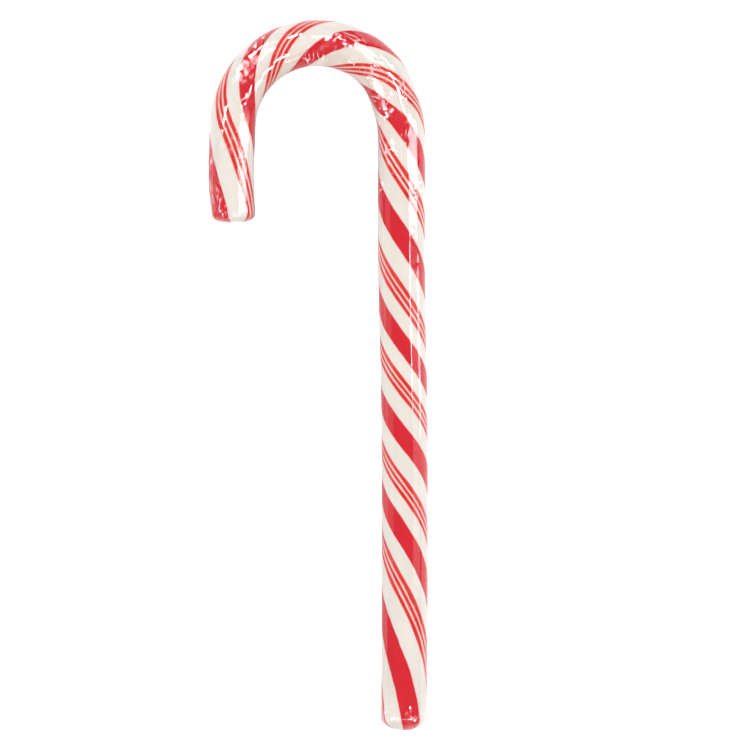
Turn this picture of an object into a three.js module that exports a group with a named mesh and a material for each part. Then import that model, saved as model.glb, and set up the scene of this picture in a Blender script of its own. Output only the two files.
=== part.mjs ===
// A candy cane shrink-wrapped in clear film, lying flat: one solid, out to the film.
// Millimetres. +Y runs along the shaft to the bend, the hook turns to -X, +Z is up,
// and the cane rests on z = 0. The origin is under the middle of its box.

import * as THREE from 'three';

// Driving dimensions, along the cane's centre line from the foot to the short end
const shaftLength = 135.6;
const bendRadius = 18.97;
const shortLegLength = 21.5;

// Thickness: a rod rolled by hand, fuller at the shoulder and thinner at both ends
const rodDiameter = 10.6;
const shoulderFullness = 0.3;
const shoulderPlace = 125;
const shoulderSpread = 25;
const endThinning = 0.25;
const endThinningReach = 20;

// The rod isn't straight: how far its centre line wanders outwards, and where
const shaftStep = { size: 0.74, place: 86, reach: 14 };
const footReturn = { size: 0.25, reach: 15 };
const shoulderFlat = { size: -0.58, place: 141.6, reach: 4.6 };
const legBow = { size: 0.36, place: 205.2, reach: 7 };

// Rounded ends, each a superellipse: how deep the dome is, and how full
const footDome = { depth: 3.1, fullness: 2 };
const legDome = { depth: 2.2, fullness: 2.6 };

// Fineness: the sides of the rod are flats, and the one underneath is its resting face
const rodSides = 28;
const domeRings = 5;
const shaftSteps = 18;
const bendSteps = 24;
const legSteps = 5;

const bendLength = Math.PI * bendRadius;
const caneLength = shaftLength + bendLength + shortLegLength;

// A bump of the given size, as a bell curve about its place
function bell(along, bump) {
  return bump.size * Math.exp(-(((along - bump.place) / bump.reach) ** 2));
}

// How far the centre line lies outside the plain shaft, half circle and leg
function wander(along) {
  const stepped = 0.5 * shaftStep.size * (1 - Math.tanh((along - shaftStep.place) / shaftStep.reach));
  const footTurn = footReturn.size * Math.exp(-along / footReturn.reach);
  return stepped - footTurn + bell(along, shoulderFlat) + bell(along, legBow);
}

// A point of the cane's centre line, seen from above: up the shaft, round the half
// circle and down the short leg, moved outwards by the wander
function centre(along) {
  const outward = wander(along);
  const bent = along - shaftLength;
  if (bent < 0) {
    return new THREE.Vector2(bendRadius + outward, along);
  }
  if (bent > bendLength) {
    return new THREE.Vector2(-bendRadius - outward, shaftLength - (bent - bendLength));
  }
  const turn = bent / bendRadius;
  const radius = bendRadius + outward;
  return new THREE.Vector2(radius * Math.cos(turn), shaftLength + radius * Math.sin(turn));
}

// The unit vector to the outer side of the bend, square to the centre line
function outerSide(along) {
  const probe = 0.5;
  const ahead = centre(along + probe);
  const way = ahead.sub(centre(along - probe)).normalize();
  return new THREE.Vector2(way.y, -way.x);
}

function rodRadius(along) {
  const shoulder = shoulderFullness * Math.exp(-(((along - shoulderPlace) / shoulderSpread) ** 2));
  const nearEnds = Math.exp(-along / endThinningReach) + Math.exp((along - caneLength) / endThinningReach);
  return 0.5 * (rodDiameter + shoulder - endThinning * nearEnds);
}

// Where the rings of vertices stand, and how much of the full thickness each has
function ringPlaces() {
  const rings = [];
  for (let i = 1; i <= domeRings; i += 1) {
    const turn = (0.5 * Math.PI * i) / domeRings;
    const rise = Math.sin(turn) ** (2 / footDome.fullness);
    const back = Math.cos(turn) ** (2 / footDome.fullness);
    rings.push({ along: footDome.depth * (1 - back), share: rise });
  }
  const addStretch = (from, to, steps) => {
    for (let i = 1; i <= steps; i += 1) {
      rings.push({ along: from + ((to - from) * i) / steps, share: 1 });
    }
  };
  const bendEnd = shaftLength + bendLength;
  addStretch(footDome.depth, shaftLength, shaftSteps);
  addStretch(shaftLength, bendEnd, bendSteps);
  addStretch(bendEnd, caneLength - legDome.depth, legSteps);
  for (let i = domeRings - 1; i >= 1; i -= 1) {
    const turn = (0.5 * Math.PI * i) / domeRings;
    const rise = Math.sin(turn) ** (2 / legDome.fullness);
    const back = Math.cos(turn) ** (2 / legDome.fullness);
    rings.push({ along: caneLength - legDome.depth * (1 - back), share: rise });
  }
  return rings;
}

// The rod: a ring of flats at each place, closed by a point at either end. The flats
// touch the round section, and the lowest one lies in z = 0 the whole way.
function rodGeometry() {
  const positions = [];
  const triangles = [];
  const rings = ringPlaces();
  for (const { along, share } of rings) {
    const middle = centre(along);
    const side = outerSide(along);
    const flatRadius = rodRadius(along);
    const corner = (share * flatRadius) / Math.cos(Math.PI / rodSides);
    for (let k = 0; k < rodSides; k += 1) {
      const angle = (2 * Math.PI * (k + 0.5)) / rodSides;
      const across = corner * Math.sin(angle);
      const height = flatRadius - corner * Math.cos(angle);
      positions.push(middle.x + across * side.x, middle.y + across * side.y, height);
    }
  }
  const footTip = centre(0);
  const legTip = centre(caneLength);
  positions.push(footTip.x, footTip.y, rodRadius(0));
  positions.push(legTip.x, legTip.y, rodRadius(caneLength));

  const footIndex = rings.length * rodSides;
  const legIndex = footIndex + 1;
  const lastRing = (rings.length - 1) * rodSides;
  for (let k = 0; k < rodSides; k += 1) {
    const next = (k + 1) % rodSides;
    triangles.push(footIndex, k, next);
    for (let i = 0; i < rings.length - 1; i += 1) {
      const near = i * rodSides;
      const far = near + rodSides;
      triangles.push(near + k, far + k, far + next);
      triangles.push(near + k, far + next, near + next);
    }
    triangles.push(legIndex, lastRing + next, lastRing + k);
  }
  const geometry = new THREE.BufferGeometry();
  geometry.setAttribute('position', new THREE.Float32BufferAttribute(positions, 3));
  geometry.setIndex(triangles);
  geometry.computeVertexNormals();
  return geometry;
}

function candyCane() {
  const stripedSugar = new THREE.MeshStandardMaterial({ color: 0xe86a6c, roughness: 0.15, metalness: 0 });
  const rod = new THREE.Mesh(rodGeometry(), stripedSugar);
  rod.name = 'candy_cane';
  rod.geometry.computeBoundingBox();
  const box = rod.geometry.boundingBox;
  rod.position.set(-0.5 * (box.min.x + box.max.x), -0.5 * (box.min.y + box.max.y), 0);
  const group = new THREE.Group();
  group.add(rod);
  return group;
}

const group = candyCane();

export default group;
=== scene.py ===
"""A striped candy cane in clear shrink film, lying flat on a pale table.

Both the sugar rod and the film round it are surfaces over two numbers: how far along the
cane's centre line a point is, in millimetres from the foot, and its angle round the section,
in degrees from the top towards the outer side of the bend.
"""
import math

import bpy
import numpy as np
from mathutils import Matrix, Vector


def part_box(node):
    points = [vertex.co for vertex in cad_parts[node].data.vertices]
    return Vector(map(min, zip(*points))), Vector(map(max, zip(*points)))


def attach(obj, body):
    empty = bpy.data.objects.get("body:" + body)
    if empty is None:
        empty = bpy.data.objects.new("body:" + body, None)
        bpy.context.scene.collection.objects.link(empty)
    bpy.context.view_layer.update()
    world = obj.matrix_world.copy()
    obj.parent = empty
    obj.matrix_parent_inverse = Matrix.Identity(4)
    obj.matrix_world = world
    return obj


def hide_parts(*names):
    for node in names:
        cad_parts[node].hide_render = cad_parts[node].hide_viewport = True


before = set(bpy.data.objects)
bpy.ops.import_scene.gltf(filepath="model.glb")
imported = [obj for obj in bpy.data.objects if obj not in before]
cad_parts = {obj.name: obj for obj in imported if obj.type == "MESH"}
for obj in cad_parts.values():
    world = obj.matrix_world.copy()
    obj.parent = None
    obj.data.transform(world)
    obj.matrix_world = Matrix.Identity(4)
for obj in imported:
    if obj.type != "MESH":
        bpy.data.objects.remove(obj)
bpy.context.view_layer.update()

CANE_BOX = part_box("candy_cane")
MM = 0.001

# ---------------------------------------------------------------- the cane's sizes, in mm

SHAFT = 135.6
BEND_RADIUS = 18.97
SHORT_LEG = 21.5
BEND = math.pi * BEND_RADIUS
CANE = SHAFT + BEND + SHORT_LEG

ROD = 10.6
SHOULDER_FULLNESS = 0.3
SHOULDER_PLACE = 125
SHOULDER_SPREAD = 25
END_THINNING = 0.25
END_THINNING_REACH = 20

SHAFT_STEP = (0.74, 86, 14)
FOOT_RETURN = (0.25, 15)
SHOULDER_FLAT = (-0.58, 141.6, 4.6)
LEG_BOW = (0.36, 205.2, 7)

FOOT_DOME = (3.1, 2.0)
LEG_DOME = (2.2, 2.6)
DOME_RINGS = 14

FILM_GAP = 0.12
FILM_INSET = 0.04


def bell(along, bump):
    """A bump of (size, place, reach): size times e to minus the squared distance over reach."""
    size, place, reach = bump
    return size * np.exp(-(((along - place) / reach) ** 2))


def wander(along):
    """How far the centre line lies outside a straight shaft, half circle and leg: a smooth
    step on the shaft, a return at the foot, the flattened shoulder and the leg's bow."""
    size, place, reach = SHAFT_STEP
    step = 0.5 * size * (1 - np.tanh((along - place) / reach))
    foot = FOOT_RETURN[0] * np.exp(-along / FOOT_RETURN[1])
    return step - foot + bell(along, SHOULDER_FLAT) + bell(along, LEG_BOW)


def centre_line(along):
    """X and Y of the centre line: up the shaft, round a half circle and down the short leg,
    with the wander added to the bend's radius."""
    bent = along - SHAFT
    turn = np.clip(bent, 0, BEND) / BEND_RADIUS
    straight = np.minimum(bent, 0) - np.maximum(bent - BEND, 0)
    radius = BEND_RADIUS + wander(along)
    return np.stack([radius * np.cos(turn), SHAFT + radius * np.sin(turn) + straight], axis=-1)


def outer_side(along):
    """The unit vector square to the centre line, towards the outer side of the bend."""
    way = centre_line(along + 0.5) - centre_line(along - 0.5)
    way /= np.linalg.norm(way, axis=-1, keepdims=True)
    return np.stack([way[..., 1], -way[..., 0]], axis=-1)


def rod_radius(along):
    """Half the wrapped rod's thickness: fuller at the shoulder, thinner towards both ends."""
    shoulder = SHOULDER_FULLNESS * np.exp(-(((along - SHOULDER_PLACE) / SHOULDER_SPREAD) ** 2))
    ends = np.exp(-along / END_THINNING_REACH) + np.exp((along - CANE) / END_THINNING_REACH)
    return 0.5 * (ROD + shoulder - END_THINNING * ends)


def dome_share(along):
    """The share of the full thickness at each place: 1 on the rod, and on the two ends the
    superellipse (depth from the rim)^n + (share)^n = 1."""
    foot_depth, foot_power = FOOT_DOME
    leg_depth, leg_power = LEG_DOME
    foot = np.clip(1 - along / foot_depth, 0, 1)
    leg = np.clip(1 - (CANE - along) / leg_depth, 0, 1)
    return (1 - foot**foot_power) ** (1 / foot_power) * (1 - leg**leg_power) ** (1 / leg_power)


def dome_places(dome, rings):
    """Distances from the tip of a dome, spaced evenly round its curve, without the tip."""
    depth, power = dome
    turn = 0.5 * math.pi * np.arange(1, rings + 1) / rings
    return depth * (1 - np.cos(turn) ** (2 / power))


def stretches(*pieces):
    """Places along the cane from (start, end, step) pieces that follow each other."""
    runs = []
    for start, end, step in pieces:
        count = max(1, round((end - start) / step))
        runs.append(start + (end - start) * np.arange(1, count + 1) / count)
    return np.concatenate(runs)


# ---------------------------------------------------------------- meshes

def place_on_box(points):
    """Moves points from the centre line's own axes to the frame, in metres, so that the
    middle of the plain rod's box is the middle of the CAD box."""
    along = np.linspace(0, CANE, 2000)
    line = centre_line(along)
    reach = rod_radius(along) * dome_share(along)
    side = outer_side(along)
    edges = np.concatenate([line + side * reach[:, None], line - side * reach[:, None]])
    middle = 0.5 * (edges.min(axis=0) + edges.max(axis=0))
    target = 0.5 * (np.array(CANE_BOX[0][:2]) + np.array(CANE_BOX[1][:2]))
    moved = points * MM
    moved[..., 0] += target[0] - middle[0] * MM
    moved[..., 1] += target[1] - middle[1] * MM
    moved[..., 2] += CANE_BOX[0][2]
    return moved


def part_turns(columns, crowding):
    """Shares of a full turn from 0 to 1, in columns + 1 steps that are closer together at the
    top: t less crowding times the sine of the whole turn's t."""
    even = np.arange(columns + 1) / columns
    return even - crowding * np.sin(2 * math.pi * even) / (2 * math.pi)


def round_grid(along, turns, offset):
    """The surface: centre line + r * (sin(angle) * outer side + cos(angle) * up), where r is
    the wrapped rod's radius plus the offset, times the dome's share. Rows run along the cane
    and columns round it, at the given shares of a turn. Nothing goes below the table."""
    angle = 2 * math.pi * turns[:-1]
    radius = (rod_radius(along)[:, None] + offset) * dome_share(along)[:, None]
    line = centre_line(along)
    side = outer_side(along)
    flat = line[:, None, :] + (radius * np.sin(angle))[..., None] * side[:, None, :]
    height = rod_radius(along)[:, None] + radius * np.cos(angle)
    return np.concatenate([flat, np.maximum(height, 0)[..., None]], axis=-1)


def tip(along, outwards):
    """The point that closes a dome, moved past the end of the centre line by outwards."""
    place = np.array([along])
    side = outer_side(place)[0]
    way = np.array([-side[1], side[0]]) * (1 if along > 0 else -1)
    flat = centre_line(place)[0] + way * outwards
    return np.array([flat[0], flat[1], rod_radius(place)[0]])


def closed_tube(name, along, turns, grid, tips, twisted, crumple=None, folds=None):
    """A closed mesh from a grid of rows along and columns round, with a point at each end.
    Its UV map holds the place along the cane and the twist, in turns, at each corner, and
    crumple and folds, where given, are kept at each point of the grid."""
    rows, columns = grid.shape[:2]
    points = place_on_box(np.concatenate([grid.reshape(-1, 3), tips]))
    row, column = np.meshgrid(np.arange(rows - 1), np.arange(columns), indexing="ij")
    following = (column + 1) % columns
    quads = np.stack([row * columns + column, row * columns + following,
                      (row + 1) * columns + following, (row + 1) * columns + column], axis=-1)
    ring = np.arange(columns)
    after = (ring + 1) % columns
    last = (rows - 1) * columns
    foot_fan = np.stack([np.full(columns, rows * columns), after, ring], axis=-1)
    leg_fan = np.stack([np.full(columns, rows * columns + 1), last + ring, last + after], axis=-1)

    mesh = bpy.data.meshes.new(name)
    mesh.vertices.add(len(points))
    mesh.vertices.foreach_set("co", points.astype(np.float32).ravel())
    corners = np.concatenate([quads.ravel(), foot_fan.ravel(), leg_fan.ravel()]).astype(np.int32)
    sizes = np.concatenate([np.full(quads.size // 4, 4), np.full(2 * columns, 3)])
    mesh.loops.add(len(corners))
    mesh.loops.foreach_set("vertex_index", corners)
    mesh.polygons.add(len(sizes))
    starts = np.concatenate([[0], np.cumsum(sizes)[:-1]]).astype(np.int32)
    mesh.polygons.foreach_set("loop_start", starts)
    mesh.polygons.foreach_set("use_smooth", np.ones(len(sizes), bool))

    place = np.broadcast_to((along / CANE)[:, None], (rows, columns + 1))
    twist = twisted[:, None] + turns[None, :]
    corner_of = ((0, 0), (0, 1), (1, 1), (1, 0))
    quad_corners = [np.stack([place[row + down, column + over],
                              twist[row + down, column + over]], axis=-1)
                    for down, over in corner_of]
    quad_uv = np.stack(quad_corners, axis=-2)
    fans = []
    for end, order in ((0, (1, 0)), (rows - 1, (0, 1))):
        middle = np.stack([place[end, :-1], 0.5 * (twist[end, :-1] + twist[end, 1:])], axis=-1)
        sides = [np.stack([place[end, ring + over], twist[end, ring + over]], axis=-1)
                 for over in order]
        fans.append(np.stack([middle, *sides], axis=1).reshape(-1, 2))
    uv = np.concatenate([quad_uv.reshape(-1, 2), *fans])
    layer = mesh.uv_layers.new(name="cane")
    layer.data.foreach_set("uv", uv.astype(np.float32).ravel())
    if crumple is not None:
        at_tips = (0.5, 0.5)
        held = mesh.attributes.new(name="crumple", type="FLOAT", domain="POINT")
        held.data.foreach_set("value", np.append(crumple.ravel(), at_tips).astype(np.float32))
        held = mesh.attributes.new(name="folds", type="FLOAT_VECTOR", domain="POINT")
        held.data.foreach_set("vector", np.append(folds.ravel(), np.zeros(6)).astype(np.float32))
    mesh.update(calc_edges=True)
    mesh.validate()
    piece = bpy.data.objects.new(name, mesh)
    bpy.context.scene.collection.objects.link(piece)
    return piece


# ---------------------------------------------------------------- the sugar rod

# The twist of the rod, in degrees per mm: a steady rate, less what both ends were pulled
# straighter by (amount and reach in mm), and two tighter stretches (amount, place, reach)
STEADY_TWIST = 7.17
FOOT_STRAIGHTER = (5.9, 25)
LEG_STRAIGHTER = (5.7, 20)
TIGHTER_STRETCHES = ((2.0, 65, 27), (2.5, 174, 10))
TWIST_START = -23.5


def twist(along):
    """Degrees that the stripes have turned at each place: the sum of the rate from the foot."""
    fine = np.linspace(0, CANE, 3000)
    foot, foot_reach = FOOT_STRAIGHTER
    leg, leg_reach = LEG_STRAIGHTER
    rate = STEADY_TWIST - foot * np.exp(-fine / foot_reach) - leg * np.exp((fine - CANE) / leg_reach)
    for stretch in TIGHTER_STRETCHES:
        rate += bell(fine, stretch)
    turned = np.concatenate([[0], np.cumsum(0.5 * (rate[1:] + rate[:-1]) * np.diff(fine))])
    return TWIST_START + np.interp(along, fine, turned)


def rod_unevenness(along, turns):
    """Hand-rolled sugar, in mm: a few long waves along and round the rod, added together."""
    draw = np.random.default_rng(11)
    angle = 2 * math.pi * turns[:-1]
    total = np.zeros((len(along), len(angle)))
    for lobes, waves, height in ((0, 5, 0.02), (2, 3, 0.03), (2, 7, 0.02), (3, 9, 0.015), (1, 11, 0.015)):
        phase = draw.uniform(0, 2 * math.pi, 2)
        swell = np.sin(2 * math.pi * waves * along / CANE + phase[0])[:, None]
        total += height * swell * np.cos(lobes * angle + phase[1])[None, :]
    return total


def rows_along(*pieces):
    """Places of the rows from tip to tip: the foot's dome, the pieces between, the leg's."""
    foot = dome_places(FOOT_DOME, DOME_RINGS)
    leg = CANE - dome_places(LEG_DOME, DOME_RINGS)[-2::-1]
    return np.concatenate([foot, stretches(*pieces), leg])


def make_candy():
    """The striped sugar rod: the wrapped rod less the film's gap, a little uneven."""
    columns = 128
    step = 0.55
    turns = part_turns(columns, 0)
    along = rows_along((FOOT_DOME[0], CANE - LEG_DOME[0], step))
    grid = round_grid(along, turns, rod_unevenness(along, turns) - FILM_GAP)
    tips = np.array([tip(0, -FILM_GAP), tip(CANE, -FILM_GAP)])
    return closed_tube("candy", along, turns, grid, tips, twist(along) / 360)


# ---------------------------------------------------------------- the film

# Crinkled places of the film: along (mm), angle from the top, reach along and round (mm),
# slant of the folds from the cane's own line (degrees), their spacing and height (mm)
CRINKLES = (
    (3.5, 18, 3.6, 4.5, 20, 0.42, 0.030),
    (2.4, 50, 2.4, 2.4, -35, 0.42, 0.045),
    (3.0, -60, 3.0, 3.0, -20, 0.50, 0.050),
    (122.5, -64, 1.8, 2.0, 70, 0.45, 0.110),
    (122.0, 54, 1.6, 1.8, 74, 0.45, 0.080),
    (129.5, -38, 3.6, 2.2, -35, 0.50, 0.090),
    (134.5, 14, 2.5, 1.2, 10, 0.50, 0.040),
    (140.5, -24, 2.8, 1.9, 42, 0.60, 0.080),
    (143.3, -36, 2.2, 2.6, -55, 0.45, 0.090),
    (143.5, 36, 2.4, 1.8, 30, 0.50, 0.060),
    (149.0, -14, 5.0, 3.2, -12, 0.50, 0.055),
    (157.0, 22, 6.0, 3.2, 20, 0.50, 0.040),
    (161.3, 5, 2.8, 2.0, -55, 0.55, 0.075),
    (166.0, -50, 4.0, 2.5, 80, 0.50, 0.060),
    (176.3, 44, 2.6, 1.8, -57, 0.45, 0.065),
    (179.8, 32, 2.2, 2.2, 75, 0.45, 0.085),
    (182.8, 12, 3.0, 2.0, -50, 0.50, 0.075),
    (188.2, -22, 3.0, 1.4, 10, 0.50, 0.060),
    (198.0, 24, 5.0, 1.5, -15, 0.50, 0.040),
    (205.0, -28, 8.0, 2.4, 12, 0.50, 0.035),
    (206.5, 62, 5.0, 1.4, 5, 0.50, 0.065),
    (210.5, 46, 2.6, 2.0, -18, 0.45, 0.055),
    (213.5, 38, 3.0, 3.2, 25, 0.50, 0.055),
)

# The height of fold at which a crinkled place is as crumpled as it gets, in mm
FULLY_CRUMPLED = 0.075

# Long soft creases that run along the film: angle from the top, from and to (mm), height
# and half width (mm)
CREASES = (
    (39.0, 48, 70, 0.04, 0.35),
    (-52.0, 6, 70, 0.04, 0.60),
    (24.0, 196, 214, 0.05, 0.45),
    (71.0, 200.5, 208.5, 0.10, 0.45),
    (150.0, 10, 205, 0.12, 0.50),
)


def wrapped_angle(angle, middle):
    """The angle from the middle, in degrees between -180 and 180."""
    return (angle - middle + 180) % 360 - 180


def crinkle_relief(along, angle):
    """Folds of the film, in mm: over each crinkled place, ridges 1 - |sin| across the slant,
    warped by a slow wave, under a bell-shaped envelope. Also returns how crumpled the film
    is at each point, from 0 to 1, and each point's place across and down the nearest folds."""
    draw = np.random.default_rng(5)
    total = np.zeros(np.broadcast(along, angle).shape)
    bend = 0.5 * (1 + np.tanh((along - 122) / 4)) + 0.6 * np.exp(-((along / 5) ** 2))
    waver = 0.5 + 0.5 * np.sin(0.9 * along + 0.05 * angle) * np.sin(0.37 * along - 0.08 * angle)
    crumple = 0.35 * bend * waver
    folds = np.stack(np.broadcast_arrays(0.5 * ROD * np.radians(angle) / 0.6, along / 2.0, 3.1), axis=-1)
    for index, (place, middle, reach_along, reach_round, slant, spacing, height) in enumerate(CRINKLES):
        lengthwise = along - place
        across = 0.5 * ROD * np.radians(wrapped_angle(angle, middle))
        envelope = np.exp(-((lengthwise / reach_along) ** 2) - (across / reach_round) ** 2)
        lean = math.radians(slant)
        over = across * math.cos(lean) - lengthwise * math.sin(lean)
        down = across * math.sin(lean) + lengthwise * math.cos(lean)
        phase = draw.uniform(0, 2 * math.pi, 4)
        warp = 0.45 * np.sin(1.3 * down + phase[0]) + 0.30 * np.sin(2.9 * down + 0.9 * over + phase[1])
        ridge = 1 - np.abs(np.sin(math.pi * (over + warp) / (2 * spacing) + phase[2]))
        break_up = 0.5 + 0.5 * np.sin(2.1 * down - 1.7 * over + phase[3])
        total += height * envelope * ridge * (0.35 + 0.65 * break_up)
        own = np.stack([over / spacing, down / (3.5 * spacing), np.full(total.shape, 5.3 * index)], axis=-1)
        amount = envelope * min(1, height / FULLY_CRUMPLED)
        folds = np.where((amount > crumple)[..., None], own, folds)
        crumple = np.maximum(crumple, amount)
    return total, crumple, folds


def crease_relief(along, angle):
    """Long creases, in mm: low ridges that keep to one angle but sway a little."""
    total = np.zeros(np.broadcast(along, angle).shape)
    for index, (middle, start, end, height, half_width) in enumerate(CREASES):
        sway = 1.2 * np.sin(0.11 * along + 2.4 * index) + 0.6 * np.sin(0.31 * along + index)
        across = 0.5 * ROD * np.radians(wrapped_angle(angle, middle + sway))
        fade = 0.5 * (np.tanh((along - start) / 2) - np.tanh((along - end) / 2))
        total += height * fade * np.exp(-((across / half_width) ** 2))
    return total


def gather_relief(along, angle):
    """Pleats where the film is drawn in over both ends, in mm: |sin| of the angle, a little
    unevenly spaced, fading as a bell away from each tip."""
    turn = np.radians(angle)
    foot_wave = np.abs(np.sin(7.5 * turn + 0.6 * np.sin(2 * turn)))
    leg_wave = np.abs(np.sin(6.5 * turn + 1 + 0.5 * np.sin(3 * turn)))
    foot = np.exp(-((along / 3.4) ** 2)) * foot_wave
    leg = np.exp(-(((CANE - along) / 2.8) ** 2)) * leg_wave
    return 0.11 * foot + 0.12 * leg


def make_film():
    """The clear film: the wrapped rod's surface with crinkles, long creases and pleats."""
    columns = 160
    crowding = 0.42
    fine = 0.225
    coarse = 1.0
    smooth_from, smooth_to = 10, 118
    turns = part_turns(columns, crowding)
    along = rows_along((FOOT_DOME[0], smooth_from, fine), (smooth_from, smooth_to, coarse),
                       (smooth_to, CANE - LEG_DOME[0], fine))
    angle = 360 * turns[None, :-1]
    place = along[:, None]
    crinkles, crumple, folds = crinkle_relief(place, angle)
    relief = crinkles + crease_relief(place, angle) + gather_relief(place, angle)
    grid = round_grid(along, turns, relief - FILM_INSET)
    proud = 0.02
    tips = np.array([tip(0, proud), tip(CANE, proud)])
    return closed_tube("film", along, turns, grid, tips, np.zeros(len(along)), crumple, folds)


# ---------------------------------------------------------------- node helpers

def new_material(name):
    """A material with an empty node tree and its output; returns both trees' handles."""
    material = bpy.data.materials.new(name)
    material.use_nodes = True
    tree = material.node_tree
    tree.nodes.clear()
    output = tree.nodes.new("ShaderNodeOutputMaterial")
    return material, tree, output


def add(tree, kind, **settings):
    """A node of the kind, with its properties set by name."""
    node = tree.nodes.new(kind)
    for key, value in settings.items():
        setattr(node, key, value)
    return node


def calculate(tree, operation, *values, clamp=False):
    """A Math node on sockets or numbers; returns its output."""
    node = add(tree, "ShaderNodeMath", operation=operation, use_clamp=clamp)
    for index, value in enumerate(values):
        put(tree, node.inputs[index], value)
    return node.outputs[0]


def put(tree, socket, value):
    """Links an output to the socket, or sets the socket's own value."""
    if isinstance(value, bpy.types.NodeSocket):
        tree.links.new(value, socket)
    else:
        socket.default_value = value


def blend_colours(tree, share, first, second):
    """A Mix node for colours; share 0 gives the first and 1 the second."""
    node = add(tree, "ShaderNodeMix", data_type="RGBA")
    put(tree, node.inputs[0], share)
    put(tree, node.inputs[6], first)
    put(tree, node.inputs[7], second)
    return node.outputs[2]


def group_tree(name, inputs, outputs):
    """A shader node group with named inputs, Place a vector and the others numbers, and named
    number outputs."""
    tree = bpy.data.node_groups.new(name, "ShaderNodeTree")
    for title in inputs:
        kind = "NodeSocketVector" if title == "Place" else "NodeSocketFloat"
        tree.interface.new_socket(title, in_out="INPUT", socket_type=kind)
    for title in outputs:
        tree.interface.new_socket(title, in_out="OUTPUT", socket_type="NodeSocketFloat")
    return tree, tree.nodes.new("NodeGroupInput"), tree.nodes.new("NodeGroupOutput")


def noise(tree, place, scale, detail=2.0, seed=0.0):
    """Smooth noise, about 0.5 in the middle."""
    node = add(tree, "ShaderNodeTexNoise", noise_dimensions="4D")
    put(tree, node.inputs["Vector"], place)
    node.inputs["Scale"].default_value = scale
    node.inputs["Detail"].default_value = detail
    put(tree, node.inputs["W"], seed)
    return node.outputs["Fac"]


def ramp_between(tree, value, low, high):
    """0 below low, 1 above high, smooth between."""
    node = add(tree, "ShaderNodeMapRange", interpolation_type="SMOOTHSTEP")
    put(tree, node.inputs["Value"], value)
    put(tree, node.inputs["From Min"], low)
    put(tree, node.inputs["From Max"], high)
    return node.outputs["Result"]


# ---------------------------------------------------------------- the sugar's stripes

# Stripes round one turn of twist, in degrees: the broad ones by middle and full width, and
# the thin ones as two sets alike, three to a set, each set on a field bled pink
BROAD_STRIPES = ((0, 52), (180, 48))
THIN_SETS = (95, 263)
THIN_SPACING = 15.5
THIN_WIDTHS = (10.5, 9, 11.5)
PINK_WIDTH = 40

SUGAR_WHITE = (0.830, 0.788, 0.738, 1)
CLOUDED_WHITE = (0.800, 0.757, 0.705, 1)
BROAD_RED = (0.700, 0.006, 0.022, 1)
STREAKED_BROAD_RED = (0.725, 0.010, 0.032, 1)
THIN_RED = (0.740, 0.024, 0.020, 1)
STREAKED_THIN_RED = (0.780, 0.055, 0.044, 1)
BLED_PINK = (0.800, 0.500, 0.440, 1)
# Painted shade for the white on the inner side of the bend, warm and pinkish
PAINTED_SHADE_INSIDE = (0.840, 0.735, 0.665, 1)


def stripe_group():
    """One stripe's mask: the distance from its middle, in degrees round the twist, against
    its half width, with an edge that sways by noise."""
    inputs = ("Turn", "Middle", "Half width", "Softness", "Sway", "Seed", "Place")
    tree, start, end = group_tree("stripe", inputs, ("Mask",))
    value = start.outputs
    middle = calculate(tree, "DIVIDE", value["Middle"], 360.0)
    shifted = calculate(tree, "FRACT", calculate(tree, "SUBTRACT", value["Turn"], middle))
    half_on = calculate(tree, "FRACT", calculate(tree, "ADD", shifted, 0.5))
    centred = calculate(tree, "ABSOLUTE", calculate(tree, "SUBTRACT", half_on, 0.5))
    distance = calculate(tree, "MULTIPLY", centred, 360.0)
    wave = noise(tree, value["Place"], 260.0, 2.0, value["Seed"])
    swaying = calculate(tree, "MULTIPLY", calculate(tree, "SUBTRACT", wave, 0.5), value["Sway"])
    edge = calculate(tree, "ADD", value["Half width"], swaying)
    outer = calculate(tree, "ADD", edge, value["Softness"])
    inner = calculate(tree, "SUBTRACT", edge, value["Softness"])
    mask = calculate(tree, "SUBTRACT", 1.0, ramp_between(tree, distance, inner, outer))
    tree.links.new(mask, end.inputs["Mask"])
    return tree


def stripes(tree, group, turn, place, widths, softness, sway, first_seed):
    """The mask of several stripes, the strongest at each point."""
    total = None
    for index, (middle, width) in enumerate(widths):
        node = add(tree, "ShaderNodeGroup", node_tree=group)
        put(tree, node.inputs["Turn"], turn)
        put(tree, node.inputs["Place"], place)
        node.inputs["Middle"].default_value = middle
        node.inputs["Half width"].default_value = 0.5 * width
        node.inputs["Softness"].default_value = softness
        node.inputs["Sway"].default_value = sway
        node.inputs["Seed"].default_value = first_seed + 3.7 * index
        mask = node.outputs["Mask"]
        total = mask if total is None else calculate(tree, "MAXIMUM", total, mask)
    return total


def shade_inside_bend(tree, place):
    """Where painted shade falls: 1 on the inner side of the bend, 0 from its crown outwards and along both
    legs: the distance from the bend's middle, and the height up the cane."""
    middle = place_on_box(np.array([0, SHAFT, 0.0]))
    offset = add(tree, "ShaderNodeVectorMath", operation="SUBTRACT")
    put(tree, offset.inputs[0], place)
    offset.inputs[1].default_value = tuple(middle)
    level = add(tree, "ShaderNodeVectorMath", operation="MULTIPLY")
    tree.links.new(offset.outputs[0], level.inputs[0])
    level.inputs[1].default_value = (1, 1, 0)
    distance = add(tree, "ShaderNodeVectorMath", operation="LENGTH")
    tree.links.new(level.outputs[0], distance.inputs[0])
    parts = add(tree, "ShaderNodeSeparateXYZ")
    tree.links.new(offset.outputs[0], parts.inputs[0])
    inner = ramp_between(tree, distance.outputs["Value"], (BEND_RADIUS + 1) * MM, (BEND_RADIUS - 3.5) * MM)
    upper = ramp_between(tree, parts.outputs["Y"], -8 * MM, 4 * MM)
    return calculate(tree, "MULTIPLY", inner, upper)


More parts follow.
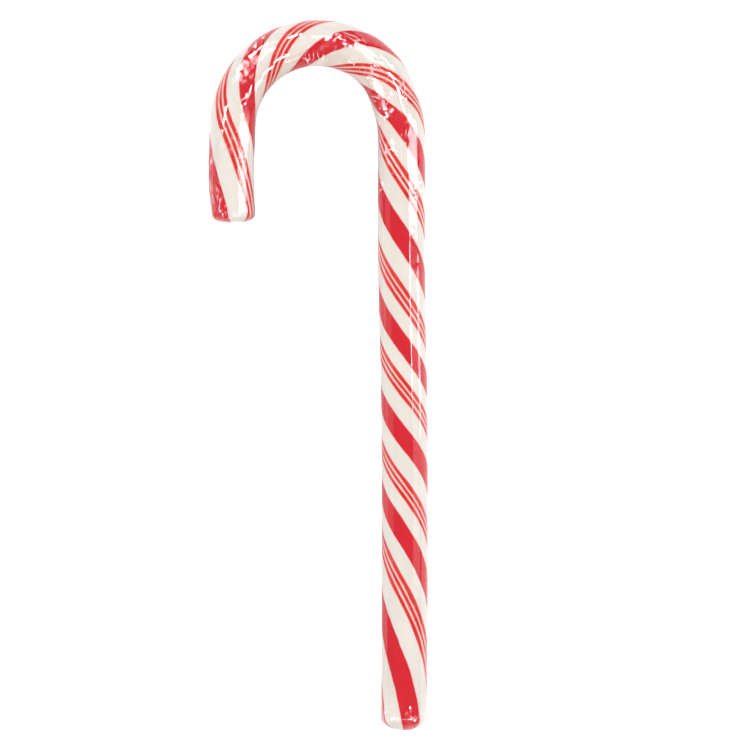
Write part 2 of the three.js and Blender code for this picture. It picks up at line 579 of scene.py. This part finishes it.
def sugar_material():
    """Opaque boiled sugar: white with two broad red bands and two sets of three thin ones, streaked along
    the twist, glossy, with a faint pulled grain. The white on the inner side of the bend carries painted
    shade, warm and pinkish like light bounced off the red."""
    material, tree, output = new_material("striped_sugar")
    shader = add(tree, "ShaderNodeBsdfPrincipled")
    tree.links.new(shader.outputs[0], output.inputs["Surface"])
    cane_map = add(tree, "ShaderNodeUVMap", uv_map="cane")
    parts = add(tree, "ShaderNodeSeparateXYZ")
    tree.links.new(cane_map.outputs[0], parts.inputs[0])
    along = parts.outputs["X"]
    turn = parts.outputs["Y"]
    place = add(tree, "ShaderNodeTexCoord").outputs["Object"]

    group = stripe_group()
    broad = stripes(tree, group, turn, place, BROAD_STRIPES, 1.6, 7.0, 1.0)
    thin_stripes = [(middle + THIN_SPACING * (index - 1), width)
                    for middle in THIN_SETS for index, width in enumerate(THIN_WIDTHS)]
    pink_fields = [(middle, PINK_WIDTH) for middle in THIN_SETS]
    thin = stripes(tree, group, turn, place, thin_stripes, 1.5, 5.0, 21.0)
    pink = stripes(tree, group, turn, place, pink_fields, 6.0, 3.0, 51.0)

    streak_place = add(tree, "ShaderNodeCombineXYZ")
    put(tree, streak_place.inputs["X"], calculate(tree, "MULTIPLY", along, 10.0))
    whole_turn = calculate(tree, "MULTIPLY", turn, 2 * math.pi)
    put(tree, streak_place.inputs["Y"], calculate(tree, "SINE", whole_turn))
    put(tree, streak_place.inputs["Z"], calculate(tree, "COSINE", whole_turn))
    streaks = noise(tree, streak_place.outputs[0], 5.0, 4.0, 8.0)
    clouds = noise(tree, place, 90.0, 3.0, 2.0)

    white = blend_colours(tree, ramp_between(tree, clouds, 0.35, 0.70), SUGAR_WHITE, CLOUDED_WHITE)
    # Painted shade: the white is darkened and warmed towards pink on the inner side of the bend
    painted_shade = calculate(tree, "MULTIPLY", shade_inside_bend(tree, place), 0.8)
    white = blend_colours(tree, painted_shade, white, PAINTED_SHADE_INSIDE)
    white = blend_colours(tree, calculate(tree, "MULTIPLY", pink, 0.30), white, BLED_PINK)
    streaked = ramp_between(tree, streaks, 0.35, 0.68)
    deep = blend_colours(tree, streaked, BROAD_RED, STREAKED_BROAD_RED)
    light = blend_colours(tree, streaked, THIN_RED, STREAKED_THIN_RED)
    colour = blend_colours(tree, thin, white, light)
    colour = blend_colours(tree, broad, colour, deep)
    tree.links.new(colour, shader.inputs["Base Color"])

    rough = add(tree, "ShaderNodeMapRange")
    put(tree, rough.inputs["Value"], clouds)
    rough.inputs["To Min"].default_value = 0.22
    rough.inputs["To Max"].default_value = 0.34
    tree.links.new(rough.outputs[0], shader.inputs["Roughness"])
    grain = add(tree, "ShaderNodeBump")
    grain.inputs["Strength"].default_value = 0.25
    grain.inputs["Distance"].default_value = 0.00008
    tree.links.new(streaks, grain.inputs["Height"])
    tree.links.new(grain.outputs[0], shader.inputs["Normal"])
    shader.inputs["Specular IOR Level"].default_value = 0.0
    shader.inputs["Subsurface Weight"].default_value = 0.12
    shader.inputs["Subsurface Radius"].default_value = (1.0, 0.45, 0.35)
    shader.inputs["Subsurface Scale"].default_value = 0.0008
    return material


# The film's surface: how small its facets are, how deep they fold, how strong the tremble is
# and how white a creased edge is
FACET_SCALE = 0.38
FOLD_DEPTH = 0.42 * MM
TREMBLE = 0.035
WHITENING = 0.50


def film_material():
    """Clear shrink film: seen straight through, and glossy more and more towards its edges.
    Where it is crumpled its surface breaks into facets, each a low roof of its own steepness
    with a rib along its edge, and some of those edges are creased white. A fine tremble
    covers all of it."""
    material, tree, output = new_material("clear_film")
    place = add(tree, "ShaderNodeTexCoord").outputs["Object"]
    crumple = add(tree, "ShaderNodeAttribute", attribute_name="crumple").outputs["Fac"]
    folded = add(tree, "ShaderNodeAttribute", attribute_name="folds").outputs["Vector"]
    facets = add(tree, "ShaderNodeTexVoronoi", feature="DISTANCE_TO_EDGE")
    tree.links.new(folded, facets.inputs["Vector"])
    facets.inputs["Scale"].default_value = FACET_SCALE
    from_edge = facets.outputs["Distance"]
    roof = calculate(tree, "MINIMUM", from_edge, 0.45)
    steep = calculate(tree, "MULTIPLY", noise(tree, folded, 0.45, 1.5, 9.0), 2.0)
    rib = calculate(tree, "MULTIPLY", ramp_between(tree, from_edge, 0.20, 0.0), 0.10)
    facet = calculate(tree, "ADD", calculate(tree, "MULTIPLY", roof, steep), rib)
    folds = calculate(tree, "MULTIPLY", facet, crumple)
    ripple = calculate(tree, "MULTIPLY", noise(tree, place, 700.0, 0.0, 4.0), TREMBLE)
    height = calculate(tree, "ADD", ripple, folds)
    surface = add(tree, "ShaderNodeBump")
    surface.inputs["Strength"].default_value = 1.0
    surface.inputs["Distance"].default_value = FOLD_DEPTH
    tree.links.new(height, surface.inputs["Height"])
    clear = add(tree, "ShaderNodeBsdfTransparent")
    gloss = add(tree, "ShaderNodeBsdfGlossy")
    gloss.inputs["Roughness"].default_value = 0.04
    share = add(tree, "ShaderNodeFresnel")
    share.inputs["IOR"].default_value = 1.70
    tree.links.new(surface.outputs[0], gloss.inputs["Normal"])
    tree.links.new(surface.outputs[0], share.inputs["Normal"])
    mix = add(tree, "ShaderNodeMixShader")
    tree.links.new(share.outputs[0], mix.inputs[0])
    tree.links.new(clear.outputs[0], mix.inputs[1])
    tree.links.new(gloss.outputs[0], mix.inputs[2])
    line = ramp_between(tree, from_edge, 0.09, 0.02)
    creased = ramp_between(tree, crumple, 0.25, 0.60)
    kept = ramp_between(tree, noise(tree, folded, 1.1, 1.0, 17.0), 0.46, 0.56)
    whitened = calculate(tree, "MULTIPLY", calculate(tree, "MULTIPLY", line, creased), kept)
    edge = add(tree, "ShaderNodeBsdfDiffuse")
    edge.inputs["Color"].default_value = (0.9, 0.9, 0.9, 1)
    whole = add(tree, "ShaderNodeMixShader")
    put(tree, whole.inputs[0], calculate(tree, "MULTIPLY", whitened, WHITENING))
    tree.links.new(mix.outputs[0], whole.inputs[1])
    tree.links.new(edge.outputs[0], whole.inputs[2])
    tree.links.new(whole.outputs[0], output.inputs["Surface"])
    return material


# ---------------------------------------------------------------- table, light and camera

def make_floor():
    """A pale table, a little lit from within so that shadows on it stay faint. In the gloss it glows with a
    painted sheen, seen only in reflections, with painted shade that makes it dimmer between the cane's two
    legs and on down beside the shaft."""
    mesh = bpy.data.meshes.new("table")
    reach = 1.5
    drop = -0.00003
    corners = [(-reach, -reach, drop), (reach, -reach, drop), (reach, reach, drop), (-reach, reach, drop)]
    mesh.from_pydata(corners, [], [(0, 1, 2, 3)])
    table = bpy.data.objects.new("table", mesh)
    bpy.context.scene.collection.objects.link(table)
    material, tree, output = new_material("pale_table")
    shader = add(tree, "ShaderNodeBsdfPrincipled")
    shader.inputs["Base Color"].default_value = (0.93, 0.93, 0.93, 1)
    shader.inputs["Roughness"].default_value = 0.7
    shader.inputs["Emission Color"].default_value = (1, 1, 1, 1)
    shader.inputs["Emission Strength"].default_value = 0.35
    # Painted sheen: an emission that only reflections see, with painted shade between the legs and beside
    # the shaft
    seen = add(tree, "ShaderNodeEmission")
    middle = place_on_box(np.array([0, SHAFT, 0.0]))
    parts = add(tree, "ShaderNodeSeparateXYZ")
    tree.links.new(add(tree, "ShaderNodeTexCoord").outputs["Object"], parts.inputs[0])
    from_middle = calculate(tree, "SUBTRACT", parts.outputs["X"], float(middle[0]))
    aside = calculate(tree, "POWER", calculate(tree, "ABSOLUTE", from_middle), 2.0)
    from_bend = calculate(tree, "SUBTRACT", parts.outputs["Y"], float(middle[1]))
    beyond = calculate(tree, "POWER", calculate(tree, "MAXIMUM", from_bend, 0.0), 2.0)
    distance = calculate(tree, "SQRT", calculate(tree, "ADD", aside, beyond))
    outside = ramp_between(tree, distance, 10 * MM, 26 * MM)
    sheen = calculate(tree, "ADD", 1.10, calculate(tree, "MULTIPLY", outside, 0.60))
    put(tree, seen.inputs["Strength"], sheen)
    mix = add(tree, "ShaderNodeMixShader")
    tree.links.new(add(tree, "ShaderNodeLightPath").outputs["Is Glossy Ray"], mix.inputs[0])
    tree.links.new(shader.outputs[0], mix.inputs[1])
    tree.links.new(seen.outputs[0], mix.inputs[2])
    tree.links.new(mix.outputs[0], output.inputs["Surface"])
    mesh.materials.append(material)


# A flat lamp's power for each unit of its radiance and square metre of its face
POWER_SHARE = 4


def panel_light(name, towards, distance, size, radiance, centre=(0, 0, 0), mirrored=True):
    """A flat soft light seen from centre in a direction and facing it. Its size in metres is
    (across, up), and its power gives the radiance whatever its size. A mirrored one shows in
    the gloss and adds no other light; any other only lights."""
    light = bpy.data.lights.new(name, "AREA")
    light.shape = "RECTANGLE"
    light.size, light.size_y = size
    light.energy = POWER_SHARE * radiance * size[0] * size[1]
    lamp = bpy.data.objects.new(name, light)
    bpy.context.scene.collection.objects.link(lamp)
    direction = Vector(towards).normalized()
    lamp.location = Vector(centre) + direction * distance
    lamp.rotation_euler = direction.to_track_quat("Z", "Y").to_euler()
    lamp.visible_glossy = mirrored
    lamp.visible_diffuse = not mirrored
    return lamp


def sideways(degrees):
    """A direction that many degrees from straight up, towards +X."""
    return (math.sin(math.radians(degrees)), 0, math.cos(math.radians(degrees)))


def seen_at(azimuth, zenith):
    """The direction at an angle round from +X towards +Y and an angle down from straight up."""
    level = math.sin(math.radians(zenith))
    turn = math.radians(azimuth)
    return (level * math.cos(turn), level * math.sin(turn), math.cos(math.radians(zenith)))


# Lamps round the room that glint in the film's folds: angle round from +X towards +Y, angle
# down from straight up, size in metres, and radiance
LAMP_DISTANCE = 1.6
LAMP_CENTRE = (0, 0.056, 0)
LAMPS = (
    (133, 64, 0.30, 60.0),
    (203, 62, 0.32, 50.0),
    (60, 36, 0.26, 30.0),
    (77, 12, 0.12, 60.0),
    (105, 48, 0.18, 50.0),
    (30, 30, 0.18, 50.0),
    (165, 40, 0.18, 50.0),
    (290, 66, 0.26, 6.0),
    (300, 35, 0.22, 40.0),
    (325, 60, 0.22, 50.0),
    (15, 50, 0.16, 50.0),
    (45, 58, 0.20, 50.0),
    (92, 30, 0.13, 50.0),
    (122, 26, 0.13, 50.0),
    (148, 50, 0.16, 50.0),
    (206, 46, 0.16, 50.0),
    (238, 60, 0.18, 9.0),
    (312, 48, 0.16, 50.0),
    (338, 42, 0.14, 50.0),
)


def make_lights():
    """A window-like softbox to the right with small strips and a dim side panel by it, and a
    dim one to the left, all mirrored in the film; lamps round the room; and wide fills that
    only light."""
    far = 0.6
    panel_light("key", sideways(58.5), far, (0.126, 0.47), 9.0, centre=(0, 0.1045, 0))
    panel_light("thin_strip", sideways(41), far, (0.044, 0.045), 12.0, centre=(0, 0.016, 0))
    panel_light("low_strip", sideways(88), far, (0.052, 0.20), 6.5, centre=(0, 0.008, 0))
    panel_light("dim_side", sideways(62), far, (0.110, 0.42), 0.9, centre=(0, -0.022, 0))
    panel_light("left_side", sideways(-82), far, (0.15, 0.60), 0.45)
    for index, (azimuth, zenith, size, radiance) in enumerate(LAMPS):
        panel_light(f"lamp_{index}", seen_at(azimuth, zenith), LAMP_DISTANCE, (size, size), radiance,
                    centre=LAMP_CENTRE)
    panel_light("fill", (0, 0.1, 1), 1.2, (2.4, 2.4), 0.95, mirrored=False)
    panel_light("left_fill", sideways(-72), 1.0, (1.4, 1.0), 0.65, mirrored=False)
    panel_light("right_fill", sideways(72), 1.0, (1.4, 1.0), 0.80, mirrored=False)
    panel_light("front_fill", seen_at(-90, 72), 1.0, (1.4, 1.0), 0.60, mirrored=False)
    panel_light("back_fill", seen_at(90, 72), 1.0, (1.4, 1.0), 0.60, mirrored=False)


def make_world():
    """The room: even light from all round, seen dimmer in the gloss."""
    world = bpy.data.worlds.new("room")
    bpy.context.scene.world = world
    world.use_nodes = True
    tree = world.node_tree
    tree.nodes.clear()
    output = tree.nodes.new("ShaderNodeOutputWorld")
    even = tree.nodes.new("ShaderNodeBackground")
    even.inputs["Color"].default_value = (1, 1, 1, 1)
    even.inputs["Strength"].default_value = 1.25
    seen = tree.nodes.new("ShaderNodeBackground")
    seen.inputs["Color"].default_value = (1, 1, 1, 1)
    seen.inputs["Strength"].default_value = 0.46
    path = tree.nodes.new("ShaderNodeLightPath")
    mix = tree.nodes.new("ShaderNodeMixShader")
    tree.links.new(path.outputs["Is Glossy Ray"], mix.inputs[0])
    tree.links.new(even.outputs[0], mix.inputs[1])
    tree.links.new(seen.outputs[0], mix.inputs[2])
    tree.links.new(mix.outputs[0], output.inputs["Surface"])


def make_camera():
    """Straight above the lying cane, far off, with its top edge towards the bend."""
    height = 1.2
    shown = 0.16854
    aside = 0.0128
    sensor_width = 36
    cane_middle = 0.5 * (CANE_BOX[0] + CANE_BOX[1])
    lens = bpy.data.cameras.new("camera")
    lens.sensor_width = sensor_width
    lens.lens = sensor_width * (height - cane_middle[2]) / shown
    lens.clip_end = 20
    camera = bpy.data.objects.new("camera", lens)
    camera.location = (cane_middle[0] + aside, cane_middle[1], height)
    bpy.context.scene.collection.objects.link(camera)
    bpy.context.scene.camera = camera


# ---------------------------------------------------------------- putting it together

make_camera()
candy = make_candy()
candy.data.materials.append(sugar_material())
film = make_film()
film.data.materials.append(film_material())
for piece, slot in ((candy, "candy"), (film, "film")):
    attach(piece, "root")
    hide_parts("candy_cane")

make_floor()
make_lights()
make_world()
bpy.context.scene.view_settings.view_transform = "Standard"
